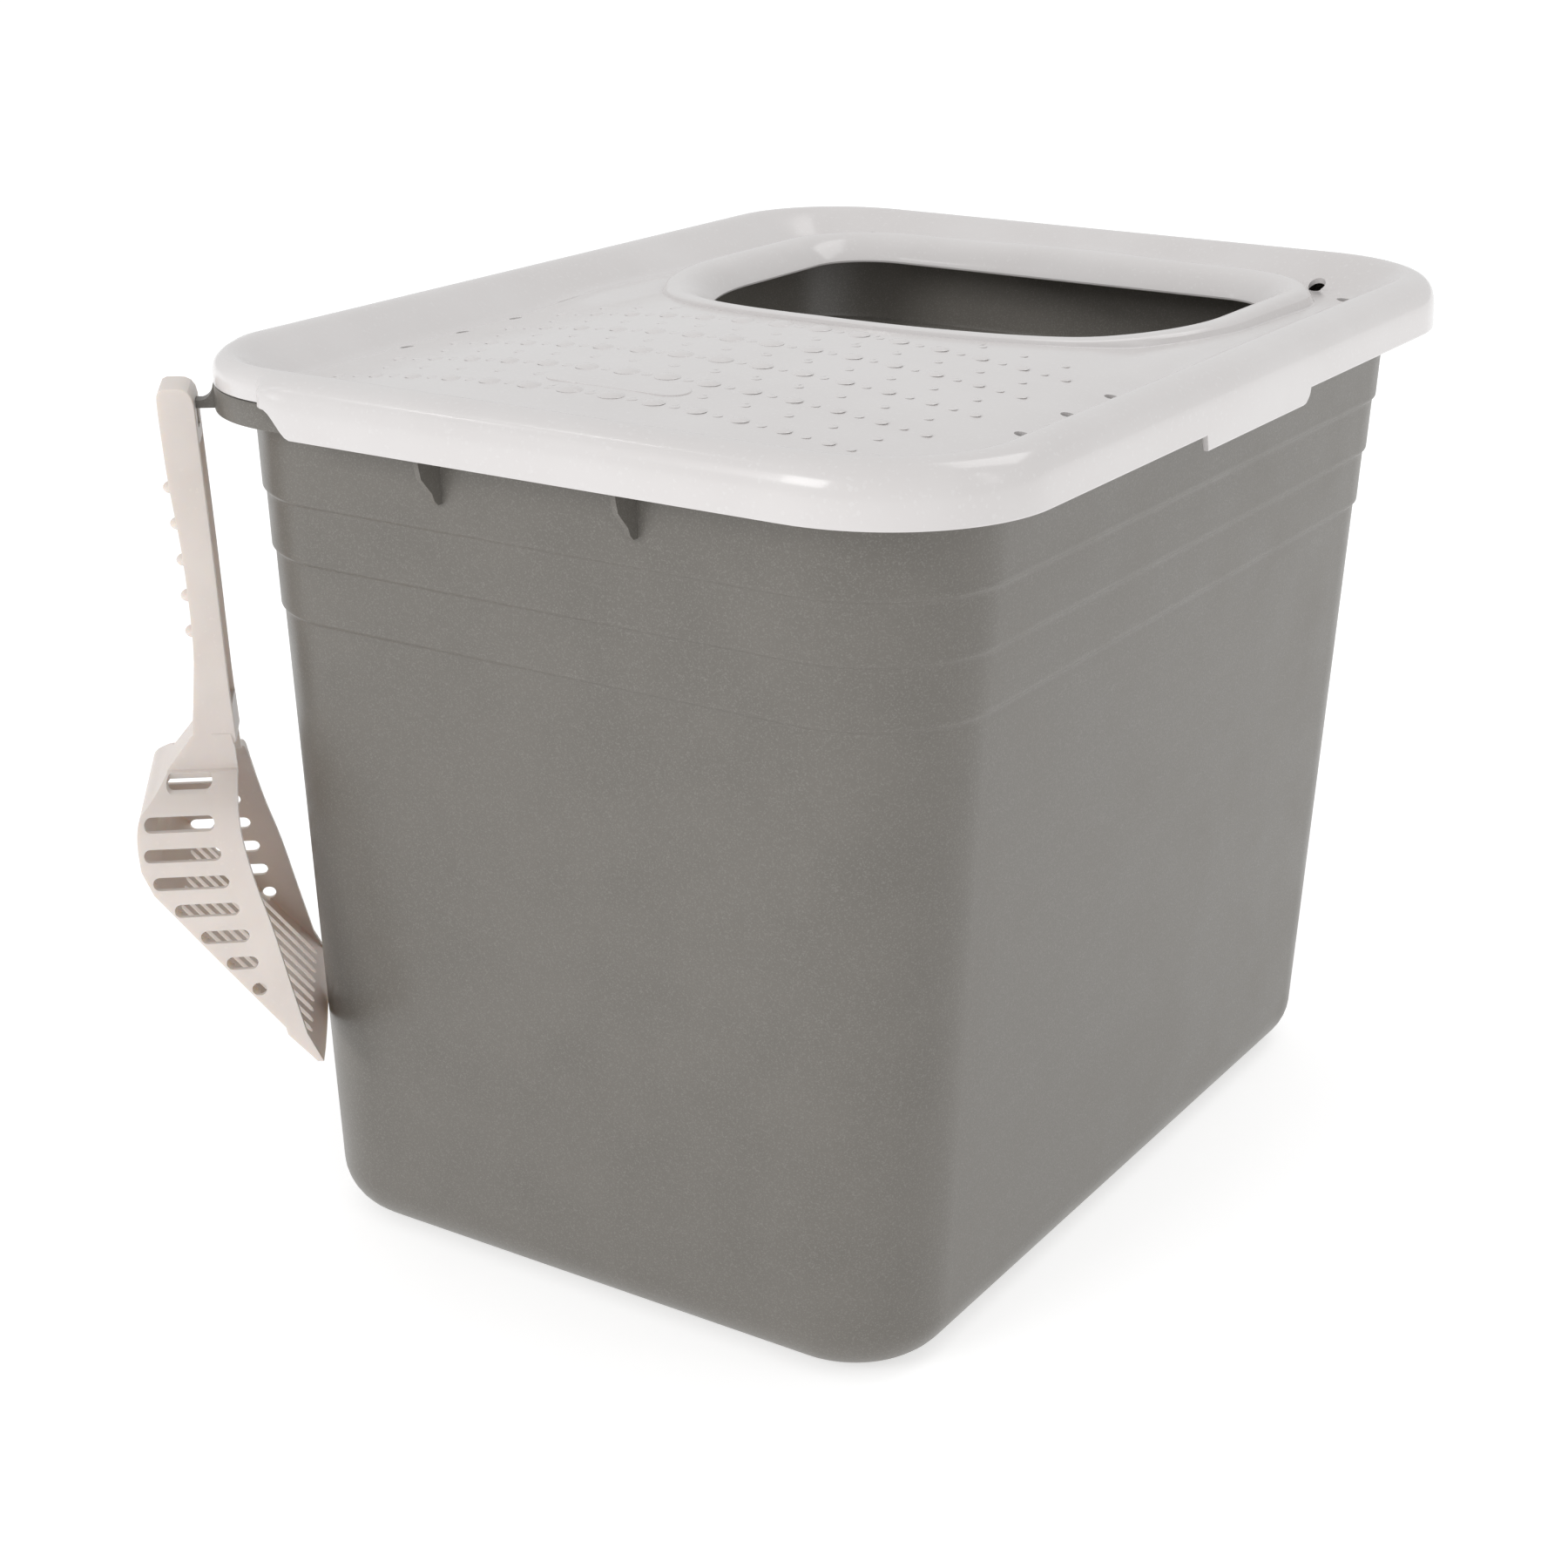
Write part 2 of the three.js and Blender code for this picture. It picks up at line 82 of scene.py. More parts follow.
studio = {
    "floorSize": 40,
    "floorColour": (0.66, 0.66, 0.66),
    "floorRoughness": 0.9,
    "floorGlow": 0.58,
    "worldColour": (1.0, 1.0, 1.0),
    "worldStrength": 0.74,
    "lights": [  # name, place, aimed at, size, watts
        ("key", (-0.9, -3.2, 1.9), (0, 0, 0.2), (1.6, 1.2), 29.5),
        ("fill", (2.8, 0.4, 1.8), (0, 0, 0.2), (0.5, 1.6), 2.2),
        ("top", (0.9, 1.6, 2.8), (0, 0, 0.3), (1.6, 1.6), 13),
        ("sparkNear", (-1.5, -1.25, 1.95), (0, 0, 0.38), (0.1, 0.1), 0.4),
        ("sparkFar", (-1.3, -0.9, 2.2), (0, 0, 0.38), (0.1, 0.1), 0.4),
        ("inside", (0.05, 0.04, 0.33), (-0.04, 0.06, 0), (0.2, 0.2), 0.45),
    ],
}


def makeStudio():
    bm = bmesh.new()
    bmesh.ops.create_grid(bm, x_segments=1, y_segments=1, size=studio["floorSize"] / 2)
    mesh = bpy.data.meshes.new("floor")
    bm.to_mesh(mesh)
    bm.free()
    floor = bpy.data.objects.new("floor", mesh)
    scene.collection.objects.link(floor)
    paint = bpy.data.materials.new("floorPaint")
    paint.use_nodes = True
    shader = paint.node_tree.nodes["Principled BSDF"]
    shader.inputs["Base Color"].default_value = (*studio["floorColour"], 1)
    shader.inputs["Roughness"].default_value = studio["floorRoughness"]
    shader.inputs["Specular IOR Level"].default_value = 0.0
    shader.inputs["Emission Color"].default_value = (1, 1, 1, 1)
    shader.inputs["Emission Strength"].default_value = studio["floorGlow"]
    mesh.materials.append(paint)

    world = bpy.data.worlds.new("studio")
    world.use_nodes = True
    sky = world.node_tree.nodes["Background"]
    sky.inputs["Color"].default_value = (*studio["worldColour"], 1)
    sky.inputs["Strength"].default_value = studio["worldStrength"]
    scene.world = world

    for name, place, target, size, watts in studio["lights"]:
        data = bpy.data.lights.new(name, "AREA")
        data.shape, data.size, data.size_y, data.energy = "RECTANGLE", size[0], size[1], watts
        light = bpy.data.objects.new(name, data)
        light.location = place
        light.rotation_euler = (Vector(target) - Vector(place)).to_track_quat("-Z", "Y").to_euler()
        scene.collection.objects.link(light)
    scene.view_settings.view_transform = "Standard"


makeCamera()
makeStudio()
print("camera, floor and light made")

# Moulded plastics

plastics = {
    "panPlastic": {
        "shade": (0.156, 0.146, 0.131),
        "mottle": (0.168, 0.157, 0.141),
        "mottleScale": 28,
        "fleck": (0.21, 0.20, 0.182),
        "fleckScale": 2200,
        "fleckShare": 0.16,
        "roughness": (0.30, 0.40),
        "specular": 0.32,
        "grain": 0.04,
        "grainScale": 900,
        "coat": 0.0,
        "depth": 0.0,
    },
    "lidPlastic": {
        "shade": (0.66, 0.635, 0.628),
        "mottle": (0.69, 0.668, 0.662),
        "mottleScale": 14,
        "fleck": (0.70, 0.68, 0.674),
        "fleckScale": 900,
        "fleckShare": 0.05,
        "roughness": (0.16, 0.22),
        "specular": 0.5,
        "grain": 0.02,
        "grainScale": 120,
        "coat": 0.3,
        "depth": 0.0,
    },
    "scoopPlastic": {
        "shade": (0.705, 0.638, 0.598),
        "mottle": (0.745, 0.677, 0.636),
        "mottleScale": 40,
        "fleck": (0.74, 0.672, 0.63),
        "fleckScale": 900,
        "fleckShare": 0.03,
        "roughness": (0.38, 0.48),
        "specular": 0.5,
        "grain": 0.04,
        "grainScale": 260,
        "coat": 0.0,
        "depth": 0.3,  # light passes a little way into the thin walls
    },
}
moulding = {  # the same for all three plastics
    "mottleDetail": 4,
    "toneBand": (0.35, 0.65),  # the part of the noise's range that goes from shade to mottle
    "glossBand": (0.3, 0.7),
    "grainDetail": 2,
    "grainHeight": 0.001,
    "depthOfColours": (1.0, 0.66, 0.4),  # red light goes deepest
    "depthScale": 0.006,
    "coatRoughness": 0.12,
}


def makePlastic(name):
    look = plastics[name]
    material = bpy.data.materials.new(name)
    material.use_nodes = True
    nodes, links = material.node_tree.nodes, material.node_tree.links
    shader = nodes["Principled BSDF"]
    place = nodes.new("ShaderNodeTexCoord").outputs["Object"]

    mottle = nodes.new("ShaderNodeTexNoise")
    mottle.inputs["Scale"].default_value = look["mottleScale"]
    mottle.inputs["Detail"].default_value = moulding["mottleDetail"]
    links.new(place, mottle.inputs["Vector"])
    tones = nodes.new("ShaderNodeValToRGB")
    places = zip(tones.color_ramp.elements, moulding["toneBand"], ("shade", "mottle"))
    for element, position, tone in places:
        element.position = position
        element.color = (*look[tone], 1)
    links.new(mottle.outputs["Fac"], tones.inputs["Fac"])

    cells = nodes.new("ShaderNodeTexVoronoi")  # pigment flecks, one tone to each small cell
    cells.inputs["Scale"].default_value = look["fleckScale"]
    links.new(place, cells.inputs["Vector"])
    pick = nodes.new("ShaderNodeSeparateColor")
    links.new(cells.outputs["Color"], pick.inputs["Color"])
    share = nodes.new("ShaderNodeMapRange")
    share.inputs["From Min"].default_value = 1 - 2 * look["fleckShare"]
    share.inputs["From Max"].default_value = 1
    links.new(pick.outputs["Red"], share.inputs["Value"])
    blend = nodes.new("ShaderNodeMix")
    blend.data_type = "RGBA"
    for socket in blend.inputs:
        if socket.name == "A" and socket.type == "RGBA":
            links.new(tones.outputs["Color"], socket)
        if socket.name == "B" and socket.type == "RGBA":
            socket.default_value = (*look["fleck"], 1)
        if socket.name == "Factor" and socket.type == "VALUE":
            links.new(share.outputs["Result"], socket)
    colour = next(s for s in blend.outputs if s.type == "RGBA")
    links.new(colour, shader.inputs["Base Color"])

    gloss = nodes.new("ShaderNodeMapRange")
    gloss.inputs["From Min"].default_value, gloss.inputs["From Max"].default_value = moulding["glossBand"]
    gloss.inputs["To Min"].default_value, gloss.inputs["To Max"].default_value = look["roughness"]
    links.new(mottle.outputs["Fac"], gloss.inputs["Value"])
    links.new(gloss.outputs["Result"], shader.inputs["Roughness"])

    grain = nodes.new("ShaderNodeTexNoise")
    grain.inputs["Scale"].default_value = look["grainScale"]
    grain.inputs["Detail"].default_value = moulding["grainDetail"]
    links.new(place, grain.inputs["Vector"])
    bump = nodes.new("ShaderNodeBump")
    bump.inputs["Strength"].default_value = look["grain"]
    bump.inputs["Distance"].default_value = moulding["grainHeight"]
    links.new(grain.outputs["Fac"], bump.inputs["Height"])
    links.new(bump.outputs["Normal"], shader.inputs["Normal"])

    shader.inputs["Specular IOR Level"].default_value = look["specular"]
    shader.inputs["Subsurface Weight"].default_value = look["depth"]
    shader.inputs["Subsurface Radius"].default_value = moulding["depthOfColours"]
    shader.inputs["Subsurface Scale"].default_value = moulding["depthScale"]
    shader.inputs["Coat Weight"].default_value = look["coat"]
    shader.inputs["Coat Roughness"].default_value = moulding["coatRoughness"]
    return material


# Mesh helpers


def startRing(bm, places):
    ring = bmesh.ops.create_circle(bm, segments=len(places), radius=1)["verts"]
    for vert, place in zip(ring, places):
        vert.co = place
    return ring


def ringEdges(bm, ring):
    return [bm.edges.get((ring[i - 1], ring[i])) for i in range(len(ring))]


def nextRing(bm, ring, places):  # extrudes a ring, and puts the new one on its own outline
    made = bmesh.ops.extrude_edge_only(bm, edges=ringEdges(bm, ring))["geom"]
    fresh = {v for v in made if isinstance(v, bmesh.types.BMVert)}
    grown = [next(e.other_vert(v) for e in v.link_edges if e.other_vert(v) in fresh) for v in ring]
    for vert, place in zip(grown, places):
        vert.co = place
    return grown


def prism(points, axis, low, high):  # a drawn outline, extruded along one axis
    bm = bmesh.new()
    u, v = [i for i in range(3) if i != axis]
    corners = []
    for point in points:
        place = [0.0, 0.0, 0.0]
        place[u], place[v], place[axis] = point[0], point[1], low
        corners.append(bm.verts.new(place))
    face = bm.faces.new(corners)
    made = bmesh.ops.extrude_face_region(bm, geom=[face])["geom"]
    push = [0.0, 0.0, 0.0]
    push[axis] = high - low
    bmesh.ops.translate(bm, vec=push, verts=[v for v in made if isinstance(v, bmesh.types.BMVert)])
    bmesh.ops.recalc_face_normals(bm, faces=bm.faces)
    return bm


def roundEdges(bm, width, segments, angle, keep):  # bevels the kept edges that are sharper than the angle
    sharp = [e for e in bm.edges if len(e.link_faces) == 2 and e.calc_face_angle(0) > math.radians(angle)]
    bmesh.ops.bevel(
        bm, geom=[e for e in sharp if keep(e)], offset=width, offset_type="OFFSET", segments=segments,
        profile=0.5, affect="EDGES", material=-1, clamp_overlap=True,
    )


def combine(bm, tool, operation):  # a boolean modifier, applied
    objects = []
    for part in (bm, tool):
        mesh = bpy.data.meshes.new("work")
        part.to_mesh(mesh)
        part.free()
        obj = bpy.data.objects.new("work", mesh)
        scene.collection.objects.link(obj)
        objects.append(obj)
    modifier = objects[0].modifiers.new("combine", "BOOLEAN")
    modifier.object, modifier.operation, modifier.solver = objects[1], operation, "EXACT"
    result = bmesh.new()
    result.from_object(objects[0], bpy.context.evaluated_depsgraph_get())
    for obj in objects:
        mesh = obj.data
        bpy.data.objects.remove(obj)
        bpy.data.meshes.remove(mesh)
    return result


def stadium(start, end, height, half, steps):  # a slot's outline, with half-round ends
    points = []
    for centre, turn in ((end, -90), (start, 90)):
        for i in range(steps + 1):
            angle = math.radians(turn + 180 * i / steps)
            points.append((centre + half * math.cos(angle), height + half * math.sin(angle)))
    return points


def gather(parts):  # several closed shapes in one mesh
    whole = bmesh.new()
    for part in parts:
        mesh = bpy.data.meshes.new("work")
        part.to_mesh(mesh)
        part.free()
        whole.from_mesh(mesh)
        bpy.data.meshes.remove(mesh)
    return whole


def makePiece(name, bm, body, node, plastic, sharpAngle):
    bmesh.ops.scale(bm, vec=(millimetre, millimetre, millimetre), verts=bm.verts)
    mesh = bpy.data.meshes.new(name)
    bm.to_mesh(mesh)
    bm.free()
    mesh.polygons.foreach_set("use_smooth", [True] * len(mesh.polygons))
    mesh.set_sharp_from_angle(angle=math.radians(sharpAngle))
    mesh.materials.append(makePlastic(plastic))
    obj = bpy.data.objects.new(name, mesh)
    scene.collection.objects.link(obj)
    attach(obj, body)
    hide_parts(node)
    print(name, "made:", len(mesh.polygons), "faces")


# A rounded outline is walked from the middle of its front, to the right. Each quarter is half an
# end, a corner and a side as far as the anchor, where the front and rear quarters meet.


def quarterSpots(ends, corners, sides):  # sides may be a count, or the shares themselves
    shares = sides if isinstance(sides, list) else [i / sides for i in range(sides)] if sides else []
    spots = [(0, i / ends) for i in range(ends)] + [(1, i / corners) for i in range(corners)]
    return spots + [(2, share) for share in shares] + [(2, 1.0)]


def outlineSpots(front, rear):
    right = [(1, "front", *s) for s in front[:-1]] + [(1, "rear", *s) for s in rear[:0:-1]]
    left = [(-1, "rear", *s) for s in rear[:-1]] + [(-1, "front", *s) for s in front[:0:-1]]
    return right + left


def outlinePoint(outline, spot):
    side, end, part, share = spot
    corner = outline[end + "Corner"]
    outward = -1 if end == "front" else 1
    cornerX, cornerY = outline["halfWidth"] - corner, outline[end] - outward * corner
    if part == 0:
        return Vector((side * cornerX * share, outline[end], 0))
    if part == 1:
        turn = share * math.pi / 2
        across, along = corner * math.sin(turn), outward * corner * math.cos(turn)
        return Vector((side * (cornerX + across), cornerY + along, 0))
    return Vector((side * outline["halfWidth"], between(cornerY, outline["anchor"], share), 0))


def walk(outline, spots, height=0.0):
    points = [outlinePoint(outline, spot) for spot in spots]
    for point in points:
        point.z = height(point) if callable(height) else height
    return points


# The scoop's own frame: X across its blade, Y straight out from the pan's front left corner

hang = {"turn": 129.8, "place": (-143.54, -205.81, 0)}
hangMatrix = Matrix.Translation(hang["place"]) @ Matrix.Rotation(math.radians(hang["turn"]), 4, "Z")

# Pan

pan = {
    "footHalfWidth": 153.3,
    "footHalfLength": 219,
    "footCorner": 44.3,
    "draft": 0.039,
    "cornerGrowth": 0.025,
    "wall": 2.6,
    "footFillet": 22,
    "ledges": (283.4, 308.9, 334.1),
    "ledgeStep": 1.4,
    "ledgeRise": 2.0,
    "ledgeMargin": 1.5,
    "rimFloor": 368,
    "rimTop": 378.6,
    "rimWall": 2.6,
    "rimInset": 7.6,
    "underRim": [(0, -1.5), (0.4, -0.4), (1.5, 0)],  # out from the wall, and up from the rim's floor
    "rimFoot": [(0.8, 0), (0.2, 0.2), (0, 0.8)],  # in from the rim's face, and up from its floor
    "rimEdge": [(0, 0.6), (0.2, 0.2), (0.6, 0)],  # in from the rim's face, and down from its top
    "shelfEdge": 1.2,
    "endSteps": 8,
    "cornerSteps": 24,
    "sideSteps": 8,
    "filletSteps": 10,
    "wallSteps": 6,
    "ledgeSteps": 5,
    "sharpAngle": 32,
}
box = {"halfWidth": 191.6, "halfLength": 257.3, "corner": 69.5}
gusset = {
    "spread": 46,
    "thickness": 2.4,
    "outline": [  # out from the wall's front, the height where that is taken, and the point's own height
        (-1.5, 368, 369), (13, 368, 369), (13, 368, 365), (11.4, 368, 359),
        (5.8, 349.6, 352.1), (4.4, 349.6, 348.8), (2.5, 347, 347), (-1.5, 347, 347),
    ],
}
hook = {
    "halfWidth": 4,
    "root": 32.3,
    "tip": 48.4,
    "tipWall": 2.6,
    "armFoot": 368.4,
    "armTop": 371.6,
    "tipTop": 374.2,
    "sweep": [(38.8, 371.6), (34.9, 372.6), (34.1, 378)],  # the arm's top sweeps up to the rim
    "sweepSteps": 8,
}


def wallGrowth(height):  # how far the wall stands out from the foot, and the ledges' share of it
    steps = sum(pan["ledgeStep"] * ease((height - ledge) / pan["ledgeRise"]) for ledge in pan["ledges"])
    return pan["draft"] * height + steps, steps


def wallOutline(height, inset):
    growth, steps = wallGrowth(height)
    above = max(0.0, height - pan["ledges"][0])
    cornerGrowth = pan["cornerGrowth"] * (height - above) + pan["draft"] * above + steps
    corner = pan["footCorner"] + cornerGrowth - inset
    length = pan["footHalfLength"] + growth - inset
    return {
        "halfWidth": pan["footHalfWidth"] + growth - inset,
        "front": -length, "rear": length, "frontCorner": corner, "rearCorner": corner, "anchor": 0,
    }


def boxOutline(inset, anchor=0.0):
    corner = box["corner"] - inset
    length = box["halfLength"] - inset
    return {
        "halfWidth": box["halfWidth"] - inset,
        "front": -length, "rear": length, "frontCorner": corner, "rearCorner": corner, "anchor": anchor,
    }


def panShell():
    wall, floor, top, shelfEdge = pan["wall"], pan["rimFloor"], pan["rimTop"], pan["shelfEdge"]
    outer, inner, shelf = pan["rimInset"], pan["rimInset"] + pan["rimWall"], floor + wall
    quarter = quarterSpots(pan["endSteps"], pan["cornerSteps"], pan["sideSteps"])
    spots = outlineSpots(quarter, quarter)

    def filletRings(inset):
        radius, steps, rings = pan["footFillet"] - inset, pan["filletSteps"], []
        for i in range(steps + 1):
            turn = math.pi / 2 * i / steps
            height = inset + radius * (1 - math.cos(turn))
            rings.append((wallOutline(height, inset + radius * (1 - math.sin(turn))), height))
        return rings

    def wallRings(inset):
        margin, steps, heights = pan["ledgeMargin"], pan["ledgeSteps"], []
        for ledge in pan["ledges"]:
            step = [ledge + pan["ledgeRise"] * i / steps for i in range(steps + 1)]
            heights += [step[0] - margin, *step, step[-1] + margin]
        start, end, count = pan["footFillet"], heights[0], pan["wallSteps"]
        heights = [between(start, end, i / count) for i in range(1, count)] + heights
        return [(wallOutline(height, inset), height) for height in heights]

    rings = filletRings(0) + wallRings(0)
    rings += [(wallOutline(floor + rise, -out), floor + rise) for out, rise in pan["underRim"]]
    rings += [(boxOutline(outer + step), floor + rise) for step, rise in pan["rimFoot"]]
    rings += [(boxOutline(outer + step), top - drop) for step, drop in pan["rimEdge"]]
    rings += [(boxOutline(inner - step), top - drop) for step, drop in reversed(pan["rimEdge"])]
    rings += [
        (boxOutline(inner), shelf),
        (wallOutline(floor, wall - shelfEdge), shelf),
        (wallOutline(floor, wall), shelf - shelfEdge),
    ]
    rings += wallRings(wall)[::-1] + filletRings(wall)[::-1]
    bm = bmesh.new()
    ring = startRing(bm, walk(rings[0][0], spots, rings[0][1]))
    first = ring
    for outline, height in rings[1:]:
        ring = nextRing(bm, ring, walk(outline, spots, height))
    bmesh.ops.edgeloop_fill(bm, edges=ringEdges(bm, first))
    bmesh.ops.edgeloop_fill(bm, edges=ringEdges(bm, ring))
    bmesh.ops.recalc_face_normals(bm, faces=bm.faces)
    return bm


def gussetBody(across):
    front, half = -pan["footHalfLength"], gusset["thickness"] / 2
    points = [(front - wallGrowth(at)[0] - out, height) for out, at, height in gusset["outline"]]
    return prism(points, 0, across - half, across + half)


def hookBody():
    root, tip, tipInside = hook["root"], hook["tip"], hook["tip"] - hook["tipWall"]
    start, middle, end = [Vector(point) for point in hook["sweep"]]
    shares = [i / hook["sweepSteps"] for i in range(hook["sweepSteps"] + 1)]
    sweep = [start.lerp(middle, t).lerp(middle.lerp(end, t), t) for t in shares]
    points = [
        (root, hook["armFoot"]), (tip, hook["armFoot"]), (tip, hook["tipTop"]), (tipInside, hook["tipTop"]),
        (tipInside, hook["armTop"]), *sweep, (root, end.y),
    ]
    bm = prism(points, 0, -hook["halfWidth"], hook["halfWidth"])
    bmesh.ops.transform(bm, matrix=hangMatrix, verts=bm.verts)
    return bm


def makePan():
    extras = gather([gussetBody(-gusset["spread"]), gussetBody(gusset["spread"]), hookBody()])
    bm = combine(panShell(), extras, "UNION")
    makePiece("pan_tub", bm, "pan", "pan", "panPlastic", pan["sharpAngle"])


# Lid

lid = {
    "wall": 2.5,
    "crest": 391.5,
    "crestInset": 14,
    "crestRoll": 3,
    "borderSlope": 0.72,
    "footInset": 36.5,
    "crownTop": 389.8,
    "crownAcross": 5.2e-4,
    "crownAlong": 5.9e-5,
    "crownMiddle": -90,
    "blend": 1.6,  # softness of the border's foot
    "anchor": 97,
    "sideFrom": -22,  # beside the entry hole the border's inner side is wider
    "sideOver": 26,
    "sideUntil": 130,
    "sideFade": 50,
    "sideWiden": 0.17,
    "stripRise": 3.4,  # the strips beside the entry hole stand higher than the platform's sides
    "stripFrom": (118, -42),
    "stripOver": (27, 62),
    "borderRows": [14, 15.5, 17, 18.5, 20, 22, 24, 26, 28, 30, 32, 34, 35.3, 36.5],  # insets on top
    "borderRowsBelow": [36.5, 32, 28, 24, 20, 17, 14.5],
    "platformRows": 24,
    "sharpAngle": 17,
}
skirt = {  # inset and height up each face, then both again for where it is cut away around the hook
    "foot": [(0.7, 367.9, 8.2, 379), (0.2, 368.1, 7.7, 379.15), (0, 368.7, 7.6, 379.6)],
    "outer": [
        (0.1, 371, 7.6, 381), (0.25, 374.5, 7.6, 382.6), (0.45, 378.5, 7.65, 384),
        (0.9, 381.6, 7.8, 385.4), (1.9, 384.7, 8.1, 386.8), (3.5, 387.3, 8.8, 388.2),
        (5.6, 389.2, 9.9, 389.4), (8.2, 390.5, 11.2, 390.5), (11, 391.25, 12.5, 391.2),
    ],
    "inner": [
        (9.5, 387.9, 13, 388.6), (5.6, 386, 12.4, 387.4), (3.6, 382, 10.9, 385.6), (2.9, 376, 10.3, 382.5),
    ],
    "innerFoot": [(2.5, 368.5, 10.2, 379.5), (2, 367.9, 9.8, 379)],
}
cutAway = {  # where the skirt's foot starts to rise, and where its face starts to draw in
    "across": -103.5,
    "acrossOver": 14,
    "along": -152,
    "alongOver": 34,
    "drawAcross": -118,
    "drawAcrossOver": 8,
    "drawAlong": -187,
    "drawAlongOver": 28,
}
tab = {  # a finger hold below the skirt, with a square front end and a rounded rear one
    "from": -53,
    "to": 53,
    "depth": 6.5,
    "notch": 2,
    "roundness": 7,
    "brink": 0.4,  # from the square end to the spots on either side of it
    "roundSteps": [0.25, 0.45, 0.62, 0.76, 0.88, 1.0, 1.06],
}
lidSteps = {
    "front": 60,
    "corner": 24,
    "aheadOfTab": 26,
    "tab": 16,
    "behindTab": 8,
    "rear": 36,
    "rearSide": 26,
    "holeFront": 4,
    "holeRear": 40,
    "holeRearCorner": 26,
    "holeRearSide": 20,
}
hole = {
    "halfWidth": 135.5,
    "front": -33,
    "rear": 208.5,
    "frontCorner": 130,
    "rearCorner": 46,
    "frontGrowth": 4,  # the most that the front edge moves when the outline grows
    "cornerGrowth": 0.9,
    "beadOut": 8,
    "beadIn": 15.5,
    "sideCrest": 385.8,
    "crestRise": 2.3,
    "crestBlend": 1.0,
    "swell": 2.4,
    "footBlend": 3.5,
    "lip": 373,
    "lipRise": 2,
    "beadRows": [8, 7.3, 6.6, 5.8, 4.8, 3.6, 2.4, 1.2, 0, -1.5, -3.2, -5, -7, -9, -11, -13, -14.5, -15.5],
    "lipRows": [(-15.9, 1.2), (-15.7, 0.4), (-15, 0), (-13.4, 0.5)],  # growth, and height above the lip
    "beadRowsBelow": [-10, -7, -4, -1.5, 0, 1.5, 3, 4.5, 5.6, 6.4, 7],
}
bumps = {
    "acrossPitch": 19.33,
    "alongPitch": 38.07,
    "frontRow": -199.9,
    "rows": 5,
    "columns": 7,
    "radius": 5.6,
    "shrink": 0.022,  # they get smaller towards the lid's sides
    "rise": 1.55,
    "segments": (20, 8),
    "smallRadius": 2.4,
    "smallRise": 0.32,
    "smallSegments": (10, 4),
    "flatness": 2.4,
    "clearance": 13,
    "inset": 42.5,
}
drain = {
    "radius": 3,
    "across": 149,
    "firstAlong": -129,
    "pitch": 38.5,
    "count": 3,
    "rearRadius": 4,
    "rear": [(124.4, 222.8), (147, 202)],
    "depth": 20,
    "segments": 24,
}
pad = {  # a plain raised field
    "from": -33,
    "to": 32,
    "along": -180.8,
    "half": 8.5,
    "rise": 0.5,
    "sink": 1,
    "rows": [  # inset, and drop from its top
        (0, 0.25), (0.1, 0.1), (0.3, 0), (2, 0), (4, 0), (6, 0), (7.5, 0),
    ],
    "endSteps": 16,
    "margin": (3, 12),  # room kept free of pips, beyond its ends and from its middle line
}


def crown(x, y):
    fall = lid["crownAcross"] * x * x + lid["crownAlong"] * (y - lid["crownMiddle"]) ** 2
    (fromX, fromY), (overX, overY) = lid["stripFrom"], lid["stripOver"]
    strip = lid["stripRise"] * ease((abs(x) - fromX) / overX) * ease((y - fromY) / overY)
    return lid["crownTop"] - fall + strip


def border(inset):  # rolls over the crest, and falls to the platform
    past = max(0.0, inset - lid["crestInset"])
    return lid["crest"] - lid["borderSlope"] * (math.hypot(past, lid["crestRoll"]) - lid["crestRoll"])


def softMax(a, b, width):
    return (a + b + math.hypot(a - b, width)) / 2


def lidFloor(x, y, inset):
    return softMax(border(inset), crown(x, y), lid["blend"])


def crest(x, y):
    return softMax(hole["sideCrest"], crown(x, y) + hole["crestRise"], hole["crestBlend"])


def spaced(low, high, count):  # both ends are left out
    return [between(low, high, i / count) for i in range(1, count)]


def lidSpots():  # the side's spots follow the tab's ends; the hole's outline has as many as the lid's
    corner, anchor, steps = box["corner"] - box["halfLength"], lid["anchor"], lidSteps
    tabFrom, notchEnd, roundFrom = tab["from"], tab["from"] + tab["notch"], tab["to"] - tab["roundness"]
    ahead, start = tabFrom - tab["brink"], notchEnd + tab["brink"]
    knots = [corner, *spaced(corner, ahead, steps["aheadOfTab"]), ahead, tabFrom, notchEnd, start]
    knots += [*spaced(start, roundFrom, steps["tab"]), roundFrom]
    knots += [roundFrom + tab["roundness"] * share for share in tab["roundSteps"]]
    knots += spaced(knots[-1], anchor, steps["behindTab"])
    shares = [(y - corner) / (anchor - corner) for y in knots]
    front = quarterSpots(steps["front"], steps["corner"], shares)
    rear = quarterSpots(steps["rear"], steps["corner"], steps["rearSide"])
    holeFront = quarterSpots(steps["holeFront"], len(front) - steps["holeFront"] - 1, 0)
    holeRear = quarterSpots(steps["holeRear"], steps["holeRearCorner"], steps["holeRearSide"])
    return outlineSpots(front, rear), outlineSpots(holeFront, holeRear)


boxSpots, holeSpots = lidSpots()


def holeOutline(grow):
    return {
        "halfWidth": hole["halfWidth"] + grow,
        "front": hole["front"] - min(grow, hole["frontGrowth"]),
        "rear": hole["rear"] + grow,
        "frontCorner": hole["frontCorner"] + grow * hole["cornerGrowth"],
        "rearCorner": hole["rearCorner"] + grow,
        "anchor": lid["anchor"],
    }


